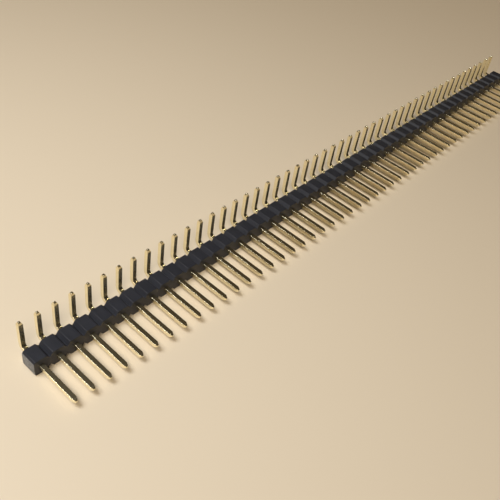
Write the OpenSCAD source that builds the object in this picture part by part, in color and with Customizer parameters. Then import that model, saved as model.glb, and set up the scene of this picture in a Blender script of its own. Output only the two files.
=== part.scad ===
/* [Row] */
// Number of pins in the strip
pin_count = 50; // [2:1:58]
// Spacing from one pin to the next
pitch = 2.54; // [2.3:0.02:4]

/* [Insulator] */
// Depth of the moulding, from its front face to its back face
body_depth = 2.5; // [1.5:0.1:8.5]
// Height of the moulding, from its resting face to its board face
body_height = 2.5; // [2:0.1:4]
// Half the width of a break groove, where it opens on a face
groove_half_width = 0.45; // [0.3:0.05:0.7]
// Depth of a break groove
groove_depth = 0.6; // [0.2:0.05:0.9]
// How far each end of the moulding stops short of half a pitch
end_trim = 0.2; // [0:0.05:0.25]
// Gap between a pin and the wall of its hole, nothing for a press fit
hole_clearance = 0; // [0:0.01:0.05]

/* [Pins] */
// Thickness of the square wire
pin_size = 0.64; // [0.5:0.02:0.8]
// Length of the mating run, from the front face to the tip
mating_length = 7; // [3:0.1:15]
// Length of the solder tail beyond the board face
tail_length = 3.4; // [2:0.1:12]
// Distance from the back face to the axis of the tail
tail_setback = 1.55; // [1.1:0.05:4]
// Radius on the inside of the bend
bend_radius = 0.4; // [0.2:0.05:0.6]
// Length of the taper at each end of a pin
tip_length = 0.45; // [0.3:0.05:1.2]
// Width of the square flat that is left at each end
tip_flat = 0.3; // [0.1:0.02:0.4]

/* [Hidden] */
$fn = 64;
// The strip spans these planes from front to back, with its middle at y = 0
front_reach = mating_length + body_depth / 2;
back_reach = body_depth / 2 + tail_setback + pin_size / 2;
body_y = (front_reach - back_reach) / 2;
front_face_y = body_y - body_depth / 2;
back_face_y = body_y + body_depth / 2;
tip_y = front_face_y - mating_length;
tail_y = back_face_y + tail_setback;

// The pins run through the moulding at half its height
axis_z = body_height / 2;
tail_top_z = body_height + tail_length;
bend_axis_radius = bend_radius + pin_size / 2;
bend_y = tail_y - bend_axis_radius;
bend_z = axis_z + bend_axis_radius;

// The moulding's end planes, and how deep the end chamfers are cut there
end_x = pin_count * pitch / 2 - end_trim;
end_cut = groove_depth * (1 - end_trim / groove_half_width);

black_plastic = [0.13, 0.14, 0.16];
pale_gold = [0.86, 0.76, 0.5];

function pin_x(i) = (i - (pin_count + 1) / 2) * pitch;
function pin_name(i) = str("pin_", i < 10 ? "0" : "", i);

// Corners of the upper face from left to right: a flat over each pin and a
// groove between one pin and the next, with a part of a groove at each end
function upper_corners() = concat(
    [[-end_x, body_height - end_cut]],
    [for (i = [1 : pin_count], corner = flat_and_groove(i)) corner],
    [[end_x, body_height - end_cut]]
);

function flat_and_groove(i) =
    let (flat = [for (side = [-1, 1])
        [pin_x(i) + side * (pitch / 2 - groove_half_width), body_height]])
    i < pin_count
        ? concat(flat, [[pin_x(i) + pitch / 2, body_height - groove_depth]])
        : flat;

// The section of the whole row, the same above and below the pins' axis
module insulator_section() {
    upper = upper_corners();
    last = len(upper) - 1;
    lower = [for (i = [last : -1 : 0]) [upper[i][0], body_height - upper[i][1]]];
    hole = pin_size + 2 * hole_clearance;
    difference() {
        polygon(concat(upper, lower));
        for (i = [1 : pin_count])
            translate([pin_x(i), axis_z])
                square(hole, center = true);
    }
}

module insulator() {
    color(black_plastic)
        translate([0, back_face_y, 0])
            rotate([90, 0, 0])
                linear_extrude(body_depth)
                    insulator_section();
}

// A straight run of wire with a tapered end, from [0, 0] along +X
module tapered_run(length) {
    taper_start = length - tip_length;
    polygon([
        [0, -pin_size / 2], [taper_start, -pin_size / 2], [length, -tip_flat / 2],
        [length, tip_flat / 2], [taper_start, pin_size / 2], [0, pin_size / 2]
    ]);
}

// The quarter turn of the wire about [0, 0], from straight down to the right
module quarter_bend() {
    outer = bend_radius + pin_size;
    intersection() {
        difference() {
            circle(outer);
            circle(bend_radius);
        }
        translate([0, -outer])
            square(outer);
    }
}

// The bent wire seen from the side, with y to the right and z upwards
module pin_side_view() {
    translate([bend_y, axis_z])
        rotate(180)
            tapered_run(bend_y - tip_y);
    translate([bend_y, bend_z])
        quarter_bend();
    translate([tail_y, bend_z])
        rotate(90)
            tapered_run(tail_top_z - bend_z);
}

// A tapered run that starts one wire thickness beyond the axis it points away
// from, so that it takes in the whole of the other run
module tapered_run_and_corner(length) {
    tapered_run(length);
    translate([-pin_size, -pin_size / 2])
        square([2 * pin_size, pin_size]);
}

// The wire is cut to its side view, then tapered across its width by a view
// from above at the mating end and by a view from the back at the tail end
module pin(i) {
    color(pale_gold)
        translate([pin_x(i), 0, 0])
            intersection() {
                rotate([90, 0, 90])
                    linear_extrude(pin_size, center = true)
                        pin_side_view();
                linear_extrude(tail_top_z + pin_size)
                    translate([0, tail_y])
                        rotate(-90)
                            tapered_run_and_corner(tail_y - tip_y);
                translate([0, tail_y + pin_size, 0])
                    rotate([90, 0, 0])
                        linear_extrude(tail_y - tip_y + 2 * pin_size)
                            translate([0, axis_z])
                                rotate(90)
                                    tapered_run_and_corner(tail_top_z - axis_z);
            }
}

insulator();
for (i = [1 : pin_count])
    pin(i);
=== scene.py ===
"""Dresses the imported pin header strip: its moulding, its bent pins and the stage."""

import math
import random

import bmesh
import bpy
from bpy.props import FloatProperty, FloatVectorProperty, IntProperty, PointerProperty
from mathutils import Matrix, Vector


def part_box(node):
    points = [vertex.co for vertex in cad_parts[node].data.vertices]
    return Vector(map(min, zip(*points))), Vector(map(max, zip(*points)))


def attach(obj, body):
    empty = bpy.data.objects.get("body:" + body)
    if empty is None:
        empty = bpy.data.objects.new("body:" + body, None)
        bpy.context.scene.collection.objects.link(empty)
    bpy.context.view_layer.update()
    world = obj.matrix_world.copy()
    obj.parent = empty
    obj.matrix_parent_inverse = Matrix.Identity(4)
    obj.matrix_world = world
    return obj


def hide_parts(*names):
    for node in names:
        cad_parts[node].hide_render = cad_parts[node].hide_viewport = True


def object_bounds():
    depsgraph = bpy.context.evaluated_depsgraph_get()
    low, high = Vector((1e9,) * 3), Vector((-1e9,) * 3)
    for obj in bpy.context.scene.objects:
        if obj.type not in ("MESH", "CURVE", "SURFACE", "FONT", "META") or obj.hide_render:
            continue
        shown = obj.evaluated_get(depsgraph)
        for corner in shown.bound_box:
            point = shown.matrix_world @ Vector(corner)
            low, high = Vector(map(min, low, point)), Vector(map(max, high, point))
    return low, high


bl_info = {
    "name": "Right-Angle Pin Header Strip",
    "version": (1, 0, 0),
    "blender": (4, 5, 0),
    "location": "3D View > Sidebar > Pin Header",
    "description": "Builds the dressed moulding and pins of a header strip, and its stage",
    "category": "Add Mesh",
}

MM = 0.001
BODY = "root"
INSULATOR_NODE = "insulator"

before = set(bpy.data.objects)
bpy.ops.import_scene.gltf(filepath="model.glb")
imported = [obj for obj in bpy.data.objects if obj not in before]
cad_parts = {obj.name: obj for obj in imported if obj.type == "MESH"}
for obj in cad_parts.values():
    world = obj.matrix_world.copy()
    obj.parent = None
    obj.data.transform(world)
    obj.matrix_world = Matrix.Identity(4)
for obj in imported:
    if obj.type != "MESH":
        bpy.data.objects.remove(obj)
CAD_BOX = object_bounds()
PIN_NODES = sorted(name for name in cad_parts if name.startswith("pin_"))

INSULATOR_LOW, INSULATOR_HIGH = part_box(INSULATOR_NODE)
FIRST_PIN_LOW, FIRST_PIN_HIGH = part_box(PIN_NODES[0])
SECOND_PIN_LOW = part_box(PIN_NODES[1])[0]
PITCH = SECOND_PIN_LOW.x - FIRST_PIN_LOW.x
WIRE_SIZE = FIRST_PIN_HIGH.x - FIRST_PIN_LOW.x


# ---------------------------------------------------------------- settings


class HEADER_PG_insulator(bpy.types.PropertyGroup):
    """Sizes and finish of the moulding"""

    groove_half_width: FloatProperty(
        name="Groove Half Width",
        description="Half the width of a break groove where it opens on a face",
        default=0.45 * MM,
        subtype="DISTANCE",
        unit="LENGTH",
    )
    groove_depth: FloatProperty(
        name="Groove Depth",
        description="Depth of a break groove between two cells",
        default=0.6 * MM,
        subtype="DISTANCE",
        unit="LENGTH",
    )
    edge_radius: FloatProperty(
        name="Edge Radius",
        description="Rounding of the moulding's edges",
        default=0.05 * MM,
        subtype="DISTANCE",
        unit="LENGTH",
    )
    edge_segments: IntProperty(
        name="Edge Segments",
        description="Faces across each rounded edge",
        default=3,
        min=1,
    )
    color: FloatVectorProperty(
        name="Plastic",
        description="Colour of the moulded plastic",
        default=(0.018, 0.0195, 0.027, 1.0),
        subtype="COLOR",
        size=4,
        min=0.0,
        max=1.0,
    )
    snapped_color: FloatVectorProperty(
        name="Snapped Plastic",
        description="Colour of the torn plastic where the strip was snapped off",
        default=(0.30, 0.30, 0.30, 1.0),
        subtype="COLOR",
        size=4,
        min=0.0,
        max=1.0,
    )


class HEADER_PG_pins(bpy.types.PropertyGroup):
    """Sizes and finish of the bent pins"""

    edge_radius: FloatProperty(
        name="Edge Radius",
        description="Rounding of the drawn wire's long edges",
        default=0.025 * MM,
        subtype="DISTANCE",
        unit="LENGTH",
    )
    edge_segments: IntProperty(
        name="Edge Segments",
        description="Faces across each rounded edge",
        default=3,
        min=1,
    )
    bend_radius: FloatProperty(
        name="Bend Radius",
        description="Radius on the inside of the bend",
        default=0.4 * MM,
        subtype="DISTANCE",
        unit="LENGTH",
    )
    bend_segments: IntProperty(
        name="Bend Segments",
        description="Faces along the bend",
        default=12,
        min=2,
    )
    tip_length: FloatProperty(
        name="Tip Length",
        description="Length of the four-sided taper at each end",
        default=0.45 * MM,
        subtype="DISTANCE",
        unit="LENGTH",
    )
    tip_flat: FloatProperty(
        name="Tip Flat",
        description="Width that is left at the end of a taper",
        default=0.3 * MM,
        subtype="DISTANCE",
        unit="LENGTH",
    )
    tip_edge: FloatProperty(
        name="Tip Edge",
        description="Width of the broken edge round the end face",
        default=0.05 * MM,
        subtype="DISTANCE",
        unit="LENGTH",
    )
    sway: FloatProperty(
        name="Sway",
        description="Largest sideways lean of a run of wire",
        default=math.radians(0.3),
        subtype="ANGLE",
        unit="ROTATION",
    )
    seed: IntProperty(
        name="Seed",
        description="Picks the set of sideways leans",
        default=7,
    )
    color: FloatVectorProperty(
        name="Plating",
        description="Colour of the thin gold plating",
        default=(0.95, 0.865, 0.60, 1.0),
        subtype="COLOR",
        size=4,
        min=0.0,
        max=1.0,
    )
    worn_color: FloatVectorProperty(
        name="Bare Brass",
        description="Colour where the plating is thinnest",
        default=(0.80, 0.64, 0.36, 1.0),
        subtype="COLOR",
        size=4,
        min=0.0,
        max=1.0,
    )


class HEADER_PG_stage(bpy.types.PropertyGroup):
    """Floor, light and camera"""

    floor_size: FloatProperty(
        name="Floor Size",
        description="Side of the square floor",
        default=20.0,
        subtype="DISTANCE",
        unit="LENGTH",
    )
    floor_color: FloatVectorProperty(
        name="Floor",
        description="Colour of the pale floor",
        default=(0.80, 0.69, 0.53, 1.0),
        subtype="COLOR",
        size=4,
        min=0.0,
        max=1.0,
    )
    key_lamp_place: FloatVectorProperty(
        name="Key Lamp Place",
        description="Middle of the soft lamp beyond the first pins",
        default=(-0.174, 0.066, 0.275),
        subtype="TRANSLATION",
        unit="LENGTH",
    )
    key_lamp_aim: FloatVectorProperty(
        name="Key Lamp Aim",
        description="Place on the floor that it points at",
        default=(-0.1, 0.02, 0.0),
        subtype="TRANSLATION",
        unit="LENGTH",
    )
    key_lamp_size: FloatProperty(
        name="Key Lamp Size",
        description="Side of the square lamp",
        default=0.14,
        subtype="DISTANCE",
        unit="LENGTH",
    )
    key_lamp_spread: FloatProperty(
        name="Key Lamp Spread",
        description="Full angle of its cone of light",
        default=math.radians(75.0),
        subtype="ANGLE",
        unit="ROTATION",
    )
    key_lamp_power: FloatProperty(
        name="Key Lamp Power",
        description="Power of the lamp",
        default=0.14,
        subtype="POWER",
        unit="POWER",
    )
    key_lamp_color: FloatVectorProperty(
        name="Key Lamp",
        description="Colour of the lamp",
        default=(0.96, 0.98, 1.0),
        subtype="COLOR",
        min=0.0,
        max=1.0,
    )
    fill_lamp_side: FloatVectorProperty(
        name="Fill Lamp Side",
        description="Direction from the strip to the far, even lamp",
        default=(-1.1, -0.9, 1.7),
        subtype="XYZ",
    )
    fill_lamp_width: FloatProperty(
        name="Fill Lamp Width",
        description="Angle that the far lamp spans, which softens its shadows",
        default=math.radians(26.0),
        subtype="ANGLE",
        unit="ROTATION",
    )
    fill_lamp_strength: FloatProperty(
        name="Fill Lamp Strength",
        description="Watts of light on each square metre that faces the far lamp",
        default=1.5,
    )
    fill_lamp_color: FloatVectorProperty(
        name="Fill Lamp",
        description="Colour of the lamp",
        default=(1.0, 0.89, 0.74),
        subtype="COLOR",
        min=0.0,
        max=1.0,
    )
    horizon_color: FloatVectorProperty(
        name="Horizon",
        description="Colour of the room near the floor, where 1 is white",
        default=(0.28, 0.21, 0.133, 1.0),
        subtype="COLOR",
        size=4,
        min=0.0,
        max=1.0,
    )
    ceiling_color: FloatVectorProperty(
        name="Ceiling",
        description="Colour of the dimmer room overhead",
        default=(0.044, 0.033, 0.021, 1.0),
        subtype="COLOR",
        size=4,
        min=0.0,
        max=1.0,
    )
    ceiling_start: FloatProperty(
        name="Ceiling Start",
        description="Sine of the height angle above which the room is at its dimmest",
        default=0.42,
    )
    camera_place: FloatVectorProperty(
        name="Camera Place",
        description="Where the camera stands",
        default=(-88.73 * MM, -45.65 * MM, 70.24 * MM),
        subtype="TRANSLATION",
        unit="LENGTH",
    )
    camera_heading: FloatProperty(
        name="Camera Heading",
        description="Turn of the view from +Y towards +X",
        default=math.radians(54.163),
        subtype="ANGLE",
        unit="ROTATION",
    )
    camera_dip: FloatProperty(
        name="Camera Dip",
        description="How far the view points below the horizon",
        default=math.radians(42.029),
        subtype="ANGLE",
        unit="ROTATION",
    )
    camera_roll: FloatProperty(
        name="Camera Roll",
        description="Turn of the camera about its own line of sight",
        default=math.radians(10.197),
        subtype="ANGLE",
        unit="ROTATION",
    )
    camera_lens: FloatProperty(
        name="Focal Length",
        description="Focal length of the camera, in millimetres",
        default=48.60,
        unit="CAMERA",
    )


# ------------------------------------------------------------- node trees


class TreeBuilder:
    """Puts nodes in a tree and joins their sockets."""

    COLUMN = 190
    ROWS = 4
    ROW = 240

    def __init__(self, tree):
        self.tree = tree
        self.count = 0

    def node(self, kind, settings=None, **inputs):
        """Adds a node. An input is a value or another node's output socket."""
        node = self.tree.nodes.new(kind)
        column, row = divmod(self.count, self.ROWS)
        node.location = (column * self.COLUMN, -row * self.ROW)
        self.count += 1
        for name, value in (settings or {}).items():
            setattr(node, name, value)
        for name, value in inputs.items():
            self.feed(node, name.replace("_", " "), value)
        return node

    def feed(self, node, key, value):
        """Sets or joins one input, named in words or given by its place in the list."""
        socket = node.inputs[key]
        if isinstance(value, bpy.types.NodeSocket):
            self.tree.links.new(value, socket)
        else:
            socket.default_value = value

    def math(self, operation, *values):
        """The result of a Math node on values or sockets."""
        node = self.node("ShaderNodeMath", {"operation": operation})
        for place, value in enumerate(values):
            self.feed(node, place, value)
        return node.outputs[0]

    def vector_math(self, operation, *values):
        """The result of a Vector Math node on vectors, as values or sockets."""
        node = self.node("ShaderNodeVectorMath", {"operation": operation})
        for place, value in enumerate(values):
            self.feed(node, place, value)
        return node.outputs["Vector"]

    def scaled(self, vector, factor):
        """A vector made longer or shorter by a factor."""
        settings = {"operation": "SCALE"}
        node = self.node("ShaderNodeVectorMath", settings, Vector=vector, Scale=factor)
        return node.outputs["Vector"]

    def remap(self, value, source=(0.0, 1.0), target=(0.0, 1.0), ease="LINEAR"):
        """A value carried from one range to another and held inside it."""
        return self.node(
            "ShaderNodeMapRange",
            {"interpolation_type": ease},
            Value=value,
            From_Min=source[0],
            From_Max=source[1],
            To_Min=target[0],
            To_Max=target[1],
        ).outputs["Result"]

    def noise(self, place, scale, detail, roughness, distortion=0.0):
        """A noise pattern of about 0 to 1, with its scale in repeats per metre."""
        return self.node(
            "ShaderNodeTexNoise",
            Vector=place,
            Scale=scale,
            Detail=detail,
            Roughness=roughness,
            Distortion=distortion,
        ).outputs["Fac"]

    def blend(self, factor, first, second):
        """A colour from the first at factor 0 to the second at 1."""
        return self.node(
            "ShaderNodeMix",
            {"data_type": "RGBA"},
            Factor=factor,
            A=first,
            B=second,
        ).outputs["Result"]


def geometry_tree(name, sockets):
    """An empty Geometry Nodes tree with named inputs. Returns it, a builder and the inputs."""
    tree = bpy.data.node_groups.new(name, "GeometryNodeTree")
    for label, kind in sockets:
        tree.interface.new_socket(label, in_out="INPUT", socket_type="NodeSocket" + kind)
    tree.interface.new_socket("Geometry", in_out="OUTPUT", socket_type="NodeSocketGeometry")
    build = TreeBuilder(tree)
    inputs = build.node("NodeGroupInput").outputs
    return tree, build, inputs


def finish_tree(build, geometry, material):
    """Ends a tree with Realize Instances and Set Material."""
    real = build.node("GeometryNodeRealizeInstances", Geometry=geometry)
    painted = build.node(
        "GeometryNodeSetMaterial", Geometry=real.outputs[0], Material=material
    )
    build.node("NodeGroupOutput", Geometry=painted.outputs[0])


def add_tree_modifier(piece, tree, values):
    """Gives the piece a Geometry Nodes modifier and sets its inputs by identifier."""
    modifier = piece.modifiers.new(tree.name, "NODES")
    modifier.node_group = tree
    identifiers = {
        item.name: item.identifier
        for item in tree.interface.items_tree
        if item.item_type == "SOCKET" and item.in_out == "INPUT"
    }
    for name, value in values.items():
        modifier[identifiers[name]] = value


def new_piece(name, data=None):
    """A new object at the origin, linked to the scene, with an empty mesh if it has no data."""
    piece = bpy.data.objects.new(name, data or bpy.data.meshes.new(name))
    bpy.context.scene.collection.objects.link(piece)
    return piece


def apply_modifiers(piece):
    """Makes what the piece's modifiers give its own plain mesh, and removes them."""
    graph = bpy.context.evaluated_depsgraph_get()
    mesh = bpy.data.meshes.new_from_object(piece.evaluated_get(graph))
    if not mesh.polygons:
        raise RuntimeError(f"{piece.name} has no faces")
    source = piece.data
    piece.modifiers.clear()
    piece.data = mesh
    bpy.data.meshes.remove(source)
    mesh.name = piece.name


def even_shading(piece):
    """Keeps flat faces flat between their rounded edges."""
    normals = piece.modifiers.new("Flat Faces", "WEIGHTED_NORMAL")
    normals.keep_sharp = True


def settle(piece, node):
    """Hangs the finished piece on the body it rides on and hides the CAD node it stands in for.
    """
    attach(piece, BODY)
    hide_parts(node)


# -------------------------------------------------------------- materials


# A scale counts repeats in a metre, a height is a share of the bump's distance, and a
# pair holds the low and the high end of a range.

# The moulded plastic.
GRAIN_SCALE = 9000.0
GRAIN_HEIGHT = 0.6
FLOW_SCALE = 900.0
FLOW_STRETCH = (1.0, 0.35, 1.0)
FLOW_SHADES = (0.75, 1.35)
PLASTIC_IOR = 1.46
PLASTIC_ROUGHNESS = (0.42, 0.58)
PLASTIC_BUMP = {"Strength": 0.35, "Distance": 0.004 * MM}

# Its torn end planes. The tear fades in between two depths under each plane.
TEAR_SCALE = 2600.0
TEAR_HEIGHT = 6.0
TEAR_ROUGHNESS = 0.3
TEAR_CONTRAST = (0.35, 0.65)
TEAR_PALENESS = (0.35, 1.0)
TEAR_FADE = (0.07 * MM, 0.02 * MM)

# The plated wire.
DRAWN_LINE_SCALE = 26000.0
DRAWN_LINE_STRETCH = (1.0, 1.0, 0.03)
THIN_PATCH_SCALE = 1400.0
THIN_PATCH_CONTRAST = (0.5, 0.8)
THIN_PATCH_SHARE = (0.0, 0.45)
PLATING_ROUGHNESS = (0.20, 0.29)
PLATING_BUMP = {"Strength": 0.08, "Distance": 0.002 * MM}

# The floor.
FLOOR_ROUGHNESS = 0.35


def new_material(name):
    """An empty node material. Returns it and a builder for its tree."""
    material = bpy.data.materials.new(name)
    material.use_nodes = True
    material.node_tree.nodes.clear()
    return material, TreeBuilder(material.node_tree)


def finish_material(build, **inputs):
    """Ends a material's tree with a Principled shader that has these inputs."""
    surface = build.node("ShaderNodeBsdfPrincipled", **inputs)
    build.node("ShaderNodeOutputMaterial", Surface=surface.outputs["BSDF"])


def shaded(color, share):
    """A colour made darker or lighter by a share, with its alpha kept."""
    return [share * channel for channel in color[:3]] + [color[3]]


def moulded_plastic(settings):
    """Black satin plastic with a fine mould grain and flow marks, torn at both end planes."""
    material, build = new_material("Moulded Plastic")
    place = build.node("ShaderNodeTexCoord").outputs["Object"]
    grain = build.noise(place, GRAIN_SCALE, detail=3.0, roughness=0.6)
    flow_place = build.vector_math("MULTIPLY", place, FLOW_STRETCH)
    flow = build.noise(flow_place, FLOW_SCALE, detail=4.0, roughness=0.55, distortion=0.6)
    tear = build.noise(place, TEAR_SCALE, detail=6.0, roughness=0.65)

    across = build.node("ShaderNodeSeparateXYZ", Vector=place).outputs["X"]
    end_planes = [INSULATOR_HIGH.x - depth for depth in TEAR_FADE]
    at_end = build.remap(build.math("ABSOLUTE", across), end_planes)

    dark, light = (shaded(settings.color, share) for share in FLOW_SHADES)
    whitened = build.remap(tear, TEAR_CONTRAST, TEAR_PALENESS)
    color = build.blend(
        build.math("MULTIPLY", at_end, whitened),
        build.blend(flow, dark, light),
        settings.snapped_color,
    )
    roughness = build.math(
        "ADD",
        build.remap(flow, target=PLASTIC_ROUGHNESS),
        build.math("MULTIPLY", at_end, TEAR_ROUGHNESS),
    )
    height = build.math("ADD", build.math("MULTIPLY", grain, GRAIN_HEIGHT), flow)
    torn_height = build.math(
        "MULTIPLY", build.math("MULTIPLY", at_end, tear), TEAR_HEIGHT
    )
    height = build.math("ADD", height, torn_height)
    bump = build.node("ShaderNodeBump", Height=height, **PLASTIC_BUMP)
    finish_material(
        build,
        Base_Color=color,
        Roughness=roughness,
        IOR=PLASTIC_IOR,
        Normal=bump.outputs["Normal"],
    )
    return material


def gold_plating(settings):
    """Pale gold over drawn brass: drawing lines along the wire and thin, browner patches."""
    material, build = new_material("Gold Plating")
    profile = build.node("ShaderNodeAttribute", {"attribute_name": "wire_profile"})
    run = build.node("ShaderNodeAttribute", {"attribute_name": "wire_run"})
    along = build.node("ShaderNodeCombineXYZ", Z=run.outputs["Fac"])
    unbent = build.vector_math("ADD", profile.outputs["Vector"], along.outputs["Vector"])
    drawn_place = build.vector_math("MULTIPLY", unbent, DRAWN_LINE_STRETCH)
    lines = build.noise(drawn_place, DRAWN_LINE_SCALE, detail=3.0, roughness=0.6)

    place = build.node("ShaderNodeTexCoord").outputs["Object"]
    patches = build.noise(place, THIN_PATCH_SCALE, detail=5.0, roughness=0.6)
    thin = build.remap(patches, THIN_PATCH_CONTRAST, THIN_PATCH_SHARE)
    bump = build.node("ShaderNodeBump", Height=lines, **PLATING_BUMP)
    finish_material(
        build,
        Base_Color=build.blend(thin, settings.color, settings.worn_color),
        Metallic=1.0,
        Roughness=build.remap(lines, target=PLATING_ROUGHNESS),
        Normal=bump.outputs["Normal"],
    )
    return material


def pale_floor(settings):
    """A plain pale table top with a slight sheen."""
    material, build = new_material("Pale Floor")
    finish_material(build, Base_Color=settings.floor_color, Roughness=FLOOR_ROUGHNESS)
    return material


# ----------------------------------------------------------- the moulding


# Corners nearer than this are one corner. Edges that turn more than this are rounded.
WELD_DISTANCE = 0.01 * MM
ROUNDED_ABOVE_ANGLE = math.radians(25.0)


def cell_mesh(settings):
    """One cell of the moulding about x = 0, open at the two planes where it joins the next."""
    half_pitch = PITCH / 2
    half_flat = half_pitch - settings.groove_half_width
    low, high = INSULATOR_LOW.z, INSULATOR_HIGH.z
    groove = settings.groove_depth
    middle = (low + high) / 2
    half_hole = WIRE_SIZE / 2
    outline = [
        (-half_pitch, high - groove), (-half_flat, high), (half_flat, high),
        (half_pitch, high - groove), (half_pitch, low + groove), (half_flat, low),
        (-half_flat, low), (-half_pitch, low + groove),
    ]
    hole = [
        (-half_hole, middle + half_hole), (half_hole, middle + half_hole),
        (half_hole, middle - half_hole), (-half_hole, middle - half_hole),
    ]
    cell = bmesh.new()

    def ring(points, y):
        """The corners of one outline on the face at y."""
        return [cell.verts.new((x, y, z)) for x, z in points]

    sides = []
    for y, turn in ((INSULATOR_LOW.y, 1), (INSULATOR_HIGH.y, -1)):
        outer, inner = ring(outline, y), ring(hole, y)
        a, b, c, d, e, f, g, h = outer
        p, q, r, s = inner
        for corners in ((p, q, c, b), (q, r, f, e, d, c), (r, s, g, f), (s, p, b, a, h, g)):
            cell.faces.new(corners[::-turn])
        sides.append((outer, inner))
    (front, front_hole), (back, back_hole) = sides
    open_sides = (3, 7)
    for i in range(len(outline)):
        if i not in open_sides:
            cell.faces.new((front[i], front[i + 1], back[i + 1], back[i]))
    for i in range(len(hole)):
        j = (i + 1) % len(hole)
        cell.faces.new((front_hole[j], front_hole[i], back_hole[i], back_hole[j]))
    mesh = bpy.data.meshes.new("Cell")
    cell.to_mesh(mesh)
    cell.free()
    return mesh


def cell_row_tree():
    """Repeats a cell along X, welds the joints and trims both ends to their planes."""
    tree, build, inputs = geometry_tree("Cell Row", [
        ("Cell", "Geometry"), ("Count", "Int"), ("Pitch", "Float"), ("End", "Float"),
        ("Middle Height", "Float"), ("End Half Height", "Float"), ("Weld", "Float"),
        ("Material", "Material"),
    ])
    gaps = build.math("SUBTRACT", inputs["Count"], 1.0)
    row_length = build.math("MULTIPLY", gaps, inputs["Pitch"])
    start = build.math("MULTIPLY", row_length, -0.5)
    line = build.node(
        "GeometryNodeMeshLine",
        Count=inputs["Count"],
        Start_Location=build.node("ShaderNodeCombineXYZ", X=start).outputs[0],
        Offset=build.node("ShaderNodeCombineXYZ", X=inputs["Pitch"]).outputs[0],
    )
    copies = build.node(
        "GeometryNodeInstanceOnPoints", Points=line.outputs[0], Instance=inputs["Cell"]
    )
    real = build.node("GeometryNodeRealizeInstances", Geometry=copies.outputs[0])
    welded = build.node(
        "GeometryNodeMergeByDistance",
        Geometry=real.outputs[0],
        Distance=inputs["Weld"],
    )
    place = build.node("GeometryNodeInputPosition").outputs[0]
    parts = build.node("ShaderNodeSeparateXYZ", Vector=place).outputs
    beyond = build.node(
        "FunctionNodeCompare",
        {"operation": "GREATER_THAN"},
        A=build.math("ABSOLUTE", parts["X"]),
        B=inputs["End"],
    )
    side = build.math("SIGN", parts["X"])
    rise = build.math("SUBTRACT", parts["Z"], inputs["Middle Height"])
    trimmed_rise = build.math(
        "MULTIPLY", build.math("SIGN", rise), inputs["End Half Height"]
    )
    trimmed = build.node(
        "ShaderNodeCombineXYZ",
        X=build.math("MULTIPLY", side, inputs["End"]),
        Y=parts["Y"],
        Z=build.math("ADD", inputs["Middle Height"], trimmed_rise),
    )
    ended = build.node(
        "GeometryNodeSetPosition",
        Geometry=welded.outputs[0],
        Selection=beyond.outputs[0],
        Position=trimmed.outputs[0],
    )
    finish_tree(build, ended.outputs[0], inputs["Material"])
    return tree


def end_half_height(settings):
    """Half the moulding's height at its end planes, which lie just short of a groove's root."""
    trim = len(PIN_NODES) * PITCH / 2 - INSULATOR_HIGH.x
    end_cut = settings.groove_depth * (1 - trim / settings.groove_half_width)
    return (INSULATOR_HIGH.z - INSULATOR_LOW.z) / 2 - end_cut


def close_ends(mesh):
    """Fills the open ends of the row and points all faces outwards."""
    row = bmesh.new()
    row.from_mesh(mesh)
    bmesh.ops.holes_fill(row, edges=[edge for edge in row.edges if edge.is_boundary])
    bmesh.ops.recalc_face_normals(row, faces=row.faces)
    row.to_mesh(mesh)
    row.free()


def round_edges(piece, width, segments):
    """Rounds the edges between the piece's faces."""
    bevel = piece.modifiers.new("Rounded Edges", "BEVEL")
    bevel.width = width
    bevel.segments = segments
    bevel.limit_method = "ANGLE"
    bevel.angle_limit = ROUNDED_ABOVE_ANGLE


class HEADER_OT_insulator(bpy.types.Operator):
    """Build the moulding from one cell, repeated along the row"""

    bl_idname = "header.insulator"
    bl_label = "Insulator"

    def execute(self, context):
        settings = context.scene.header_insulator
        piece = new_piece("Insulator", cell_mesh(settings))
        add_tree_modifier(piece, cell_row_tree(), {
            "Count": len(PIN_NODES),
            "Pitch": PITCH,
            "End": INSULATOR_HIGH.x,
            "Middle Height": (INSULATOR_LOW.z + INSULATOR_HIGH.z) / 2,
            "End Half Height": end_half_height(settings),
            "Weld": WELD_DISTANCE,
            "Material": moulded_plastic(settings),
        })
        apply_modifiers(piece)
        close_ends(piece.data)
        piece.data.shade_smooth()
        round_edges(piece, settings.edge_radius, settings.edge_segments)
        even_shading(piece)
        apply_modifiers(piece)
        settle(piece, INSULATOR_NODE)
        return {"FINISHED"}


# --------------------------------------------------------------- the pins


# Pins stay this far inside their CAD boxes. Edges that turn more than this stay crisp.
PIN_INSET = 0.005 * MM
SHARP_ABOVE_ANGLE = math.radians(40.0)


def bent_pin_tree():
    """Sweeps rounded square wire along two runs and a bend, tapered at both ends."""
    tree, build, inputs = geometry_tree("Bent Pin", [
        ("Tip", "Vector"), ("Corner", "Vector"), ("Tail End", "Vector"),
        ("Wire Size", "Float"), ("Edge Radius", "Float"), ("Edge Segments", "Int"),
        ("Bend Radius", "Float"), ("Bend Segments", "Int"), ("Tip Length", "Float"),
        ("Tip Flat", "Float"), ("Tip Edge", "Float"), ("Material", "Material"),
    ])
    swept = build.node(
        "GeometryNodeCurveToMesh",
        Curve=wire_path(build, inputs),
        Profile_Curve=wire_profile(build, inputs),
        Scale=taper_scale(build, inputs),
        Fill_Caps=True,
    )
    finish_tree(build, swept.outputs[0], inputs["Material"])
    return tree


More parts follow.
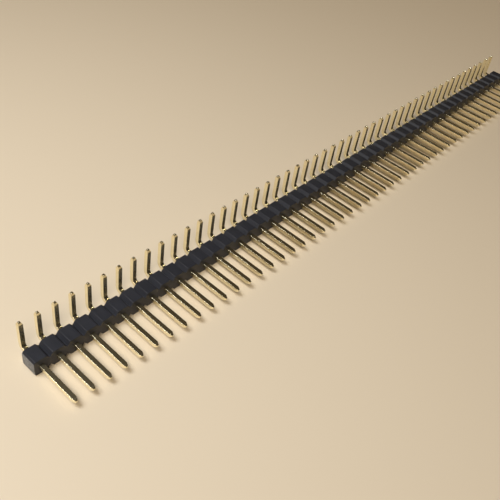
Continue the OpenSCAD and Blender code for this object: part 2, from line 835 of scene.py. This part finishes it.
def wire_path(build, inputs):
    """The wire's axis: ring places at each end and a rounded corner between the runs."""
    corner = inputs["Corner"]
    runs = []
    for end in (inputs["Tip"], inputs["Tail End"]):
        inward = build.vector_math("NORMALIZE", build.vector_math("SUBTRACT", corner, end))
        steps = (inputs["Tip Edge"], inputs["Tip Length"])
        runs.append([end] + [
            build.vector_math("ADD", end, build.scaled(inward, step)) for step in steps
        ])
    mating, tail = runs
    places = mating + [corner] + tail[::-1]
    index = build.node("GeometryNodeInputIndex").outputs[0]
    pick = build.node("GeometryNodeIndexSwitch", {"data_type": "VECTOR"}, Index=index)
    while len(pick.index_switch_items) < len(places):
        pick.index_switch_items.new()
    for number, place in enumerate(places, start=1):
        build.feed(pick, number, place)
    points = build.node(
        "GeometryNodePoints", Count=len(places), Position=pick.outputs[0]
    )
    line = build.node("GeometryNodePointsToCurves", Points=points.outputs[0])
    at_corner = build.node(
        "FunctionNodeCompare",
        {"data_type": "INT", "operation": "EQUAL"},
        A=index,
        B=len(mating),
    )
    rounded = build.node(
        "GeometryNodeFilletCurve",
        {"mode": "POLY"},
        Curve=line.outputs[0],
        Count=inputs["Bend Segments"],
        Radius=build.math("MULTIPLY", at_corner.outputs[0], inputs["Bend Radius"]),
    )
    run_length = build.node("GeometryNodeSplineParameter").outputs["Length"]
    return build.node(
        "GeometryNodeStoreNamedAttribute",
        {"data_type": "FLOAT", "domain": "POINT"},
        Geometry=rounded.outputs[0],
        Name="wire_run",
        Value=run_length,
    ).outputs[0]


def wire_profile(build, inputs):
    """The wire's section: a square with rounded corners."""
    square = build.node(
        "GeometryNodeCurvePrimitiveQuadrilateral",
        Width=inputs["Wire Size"],
        Height=inputs["Wire Size"],
    )
    rounded = build.node(
        "GeometryNodeFilletCurve",
        {"mode": "POLY"},
        Curve=square.outputs[0],
        Count=inputs["Edge Segments"],
        Radius=inputs["Edge Radius"],
    )
    place = build.node("GeometryNodeInputPosition").outputs[0]
    return build.node(
        "GeometryNodeStoreNamedAttribute",
        {"data_type": "FLOAT_VECTOR", "domain": "POINT"},
        Geometry=rounded.outputs[0],
        Name="wire_profile",
        Value=place,
    ).outputs[0]


def taper_scale(build, inputs):
    """The section's size along the wire, as a share of the full size."""
    passed = build.node("GeometryNodeSplineParameter").outputs["Length"]
    total = build.node("GeometryNodeSplineLength").outputs["Length"]
    to_end = build.math("MINIMUM", passed, build.math("SUBTRACT", total, passed))
    flat_share = build.math("DIVIDE", inputs["Tip Flat"], inputs["Wire Size"])
    into_taper = build.math(
        "DIVIDE",
        build.math("SUBTRACT", to_end, inputs["Tip Edge"]),
        build.math("SUBTRACT", inputs["Tip Length"], inputs["Tip Edge"]),
    )
    taper = build.remap(into_taper, target=(flat_share, 1.0))
    edge_step = build.math("SUBTRACT", inputs["Tip Edge"], to_end)
    edge_loss = build.math(
        "DIVIDE", build.math("MULTIPLY", edge_step, 2.0), inputs["Wire Size"]
    )
    return build.math("SUBTRACT", taper, build.math("MAXIMUM", edge_loss, 0.0))


def pin_places(low, high, sway, picks):
    """The axis points of one pin, from its CAD box, with a slight lean of each run."""
    half = WIRE_SIZE / 2
    middle_x = (low.x + high.x) / 2
    corner = Vector((middle_x, high.y - half - PIN_INSET, low.z + half))
    tip = Vector((middle_x, low.y + PIN_INSET, corner.z))
    tail_end = Vector((middle_x, corner.y, high.z - PIN_INSET))
    tip.x += math.tan(picks.uniform(-sway, sway)) * (corner.y - tip.y)
    tail_end.x += math.tan(picks.uniform(-sway, sway)) * (tail_end.z - corner.z)
    return tip, corner, tail_end


class HEADER_OT_pins(bpy.types.Operator):
    """Build every bent pin as a piece of its own"""

    bl_idname = "header.pins"
    bl_label = "Pins"

    def execute(self, context):
        settings = context.scene.header_pins
        picks = random.Random(settings.seed)
        tree = bent_pin_tree()
        shared_values = {
            "Wire Size": WIRE_SIZE,
            "Edge Radius": settings.edge_radius,
            "Edge Segments": settings.edge_segments,
            "Bend Radius": settings.bend_radius + WIRE_SIZE / 2,
            "Bend Segments": settings.bend_segments,
            "Tip Length": settings.tip_length,
            "Tip Flat": settings.tip_flat,
            "Tip Edge": settings.tip_edge,
            "Material": gold_plating(settings),
        }
        for node in PIN_NODES:
            low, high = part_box(node)
            tip, corner, tail_end = pin_places(low, high, settings.sway, picks)
            piece = new_piece(node.replace("pin", "Pin"))
            places = {"Tip": tip, "Corner": corner, "Tail End": tail_end}
            add_tree_modifier(piece, tree, {**places, **shared_values})
            apply_modifiers(piece)
            piece.data.shade_smooth()
            piece.data.set_sharp_from_angle(angle=SHARP_ABOVE_ANGLE)
            even_shading(piece)
            apply_modifiers(piece)
            settle(piece, node)
        return {"FINISHED"}


# -------------------------------------------------------------- the stage


def build_floor(settings):
    """A square of floor under the strip's resting face."""
    half = settings.floor_size / 2
    floor = bmesh.new()
    corners = ((-half, -half), (half, -half), (half, half), (-half, half))
    floor.faces.new([floor.verts.new((x, y, CAD_BOX[0].z)) for x, y in corners])
    mesh = bpy.data.meshes.new("Floor")
    floor.to_mesh(mesh)
    floor.free()
    mesh.materials.append(pale_floor(settings))
    new_piece("Floor", mesh)


def new_lamp(name, kind, back, strength, color):
    """A lamp with its back turned to the given direction. Returns its object."""
    lamp = bpy.data.lights.new(name, kind)
    lamp.energy = strength
    lamp.color = color
    holder = new_piece(name, lamp)
    holder.rotation_euler = back.to_track_quat("Z", "Y").to_euler()
    return holder


def build_key_lamp(settings):
    """A soft square lamp beyond the first pins, turned towards a place on the floor."""
    place = Vector(settings.key_lamp_place)
    back = place - Vector(settings.key_lamp_aim)
    holder = new_lamp(
        "Key Lamp", "AREA", back, settings.key_lamp_power, settings.key_lamp_color
    )
    holder.location = place
    holder.data.size = settings.key_lamp_size
    holder.data.spread = settings.key_lamp_spread


def build_fill_lamp(settings):
    """A far, wide lamp that lights strip and floor evenly and softens the shadows."""
    back = Vector(settings.fill_lamp_side)
    holder = new_lamp(
        "Fill Lamp", "SUN", back, settings.fill_lamp_strength, settings.fill_lamp_color
    )
    holder.data.angle = settings.fill_lamp_width


def build_room(settings):
    """Light from all round, pale near the floor and dimmer overhead."""
    world = bpy.data.worlds.new("Room")
    world.use_nodes = True
    build = TreeBuilder(world.node_tree)
    direction = build.node("ShaderNodeTexCoord").outputs["Generated"]
    height = build.node("ShaderNodeSeparateXYZ", Vector=direction).outputs["Z"]
    rise = build.remap(height, (0.0, settings.ceiling_start), ease="SMOOTHSTEP")
    shade = build.blend(rise, settings.horizon_color, settings.ceiling_color)
    build.feed(world.node_tree.nodes["Background"], "Color", shade)
    bpy.context.scene.world = world


def build_camera(settings):
    """The camera, turned by its heading, dip and roll."""
    heading, dip = settings.camera_heading, settings.camera_dip
    line_of_sight = Vector((
        math.sin(heading) * math.cos(dip),
        math.cos(heading) * math.cos(dip),
        -math.sin(dip),
    ))
    level = line_of_sight.to_track_quat("-Z", "Y").to_matrix().to_4x4()
    data = bpy.data.cameras.new("Camera")
    data.lens = settings.camera_lens
    data.clip_start = MM
    camera = new_piece("Camera", data)
    place = Matrix.Translation(settings.camera_place)
    camera.matrix_world = place @ level @ Matrix.Rotation(settings.camera_roll, 4, "Z")
    bpy.context.scene.camera = camera


class HEADER_OT_stage(bpy.types.Operator):
    """Set the floor, the light and the camera"""

    bl_idname = "header.stage"
    bl_label = "Stage"

    def execute(self, context):
        settings = context.scene.header_stage
        build_floor(settings)
        build_key_lamp(settings)
        build_fill_lamp(settings)
        build_room(settings)
        build_camera(settings)
        context.scene.view_settings.view_transform = "Standard"
        return {"FINISHED"}


# ------------------------------------------------------------ the add-on


class HEADER_PT_strip(bpy.types.Panel):
    """Sizes, finishes and build buttons of the strip"""

    bl_label = "Pin Header Strip"
    bl_idname = "HEADER_PT_strip"
    bl_space_type = "VIEW_3D"
    bl_region_type = "UI"
    bl_category = "Pin Header"

    def draw(self, context):
        """Lists each section's button with its settings."""
        for name, (group, operator) in SECTIONS.items():
            box = self.layout.box()
            box.operator(operator.bl_idname)
            for key in group.__annotations__:
                box.prop(getattr(context.scene, name), key)


SECTIONS = {
    "header_insulator": (HEADER_PG_insulator, HEADER_OT_insulator),
    "header_pins": (HEADER_PG_pins, HEADER_OT_pins),
    "header_stage": (HEADER_PG_stage, HEADER_OT_stage),
}
CLASSES = (
    HEADER_PG_insulator,
    HEADER_PG_pins,
    HEADER_PG_stage,
    HEADER_OT_insulator,
    HEADER_OT_pins,
    HEADER_OT_stage,
    HEADER_PT_strip,
)


def register():
    """Adds the settings, the operators and the panel."""
    for cls in CLASSES:
        bpy.utils.register_class(cls)
    for name, (group, _operator) in SECTIONS.items():
        setattr(bpy.types.Scene, name, PointerProperty(type=group))


def unregister():
    """Takes away what register added."""
    for name in SECTIONS:
        delattr(bpy.types.Scene, name)
    for cls in reversed(CLASSES):
        bpy.utils.unregister_class(cls)


def main():
    """Builds the stage, the moulding and the pins."""
    register()
    bpy.ops.header.stage()
    bpy.ops.header.insulator()
    bpy.ops.header.pins()


if __name__ == "__main__":
    main()
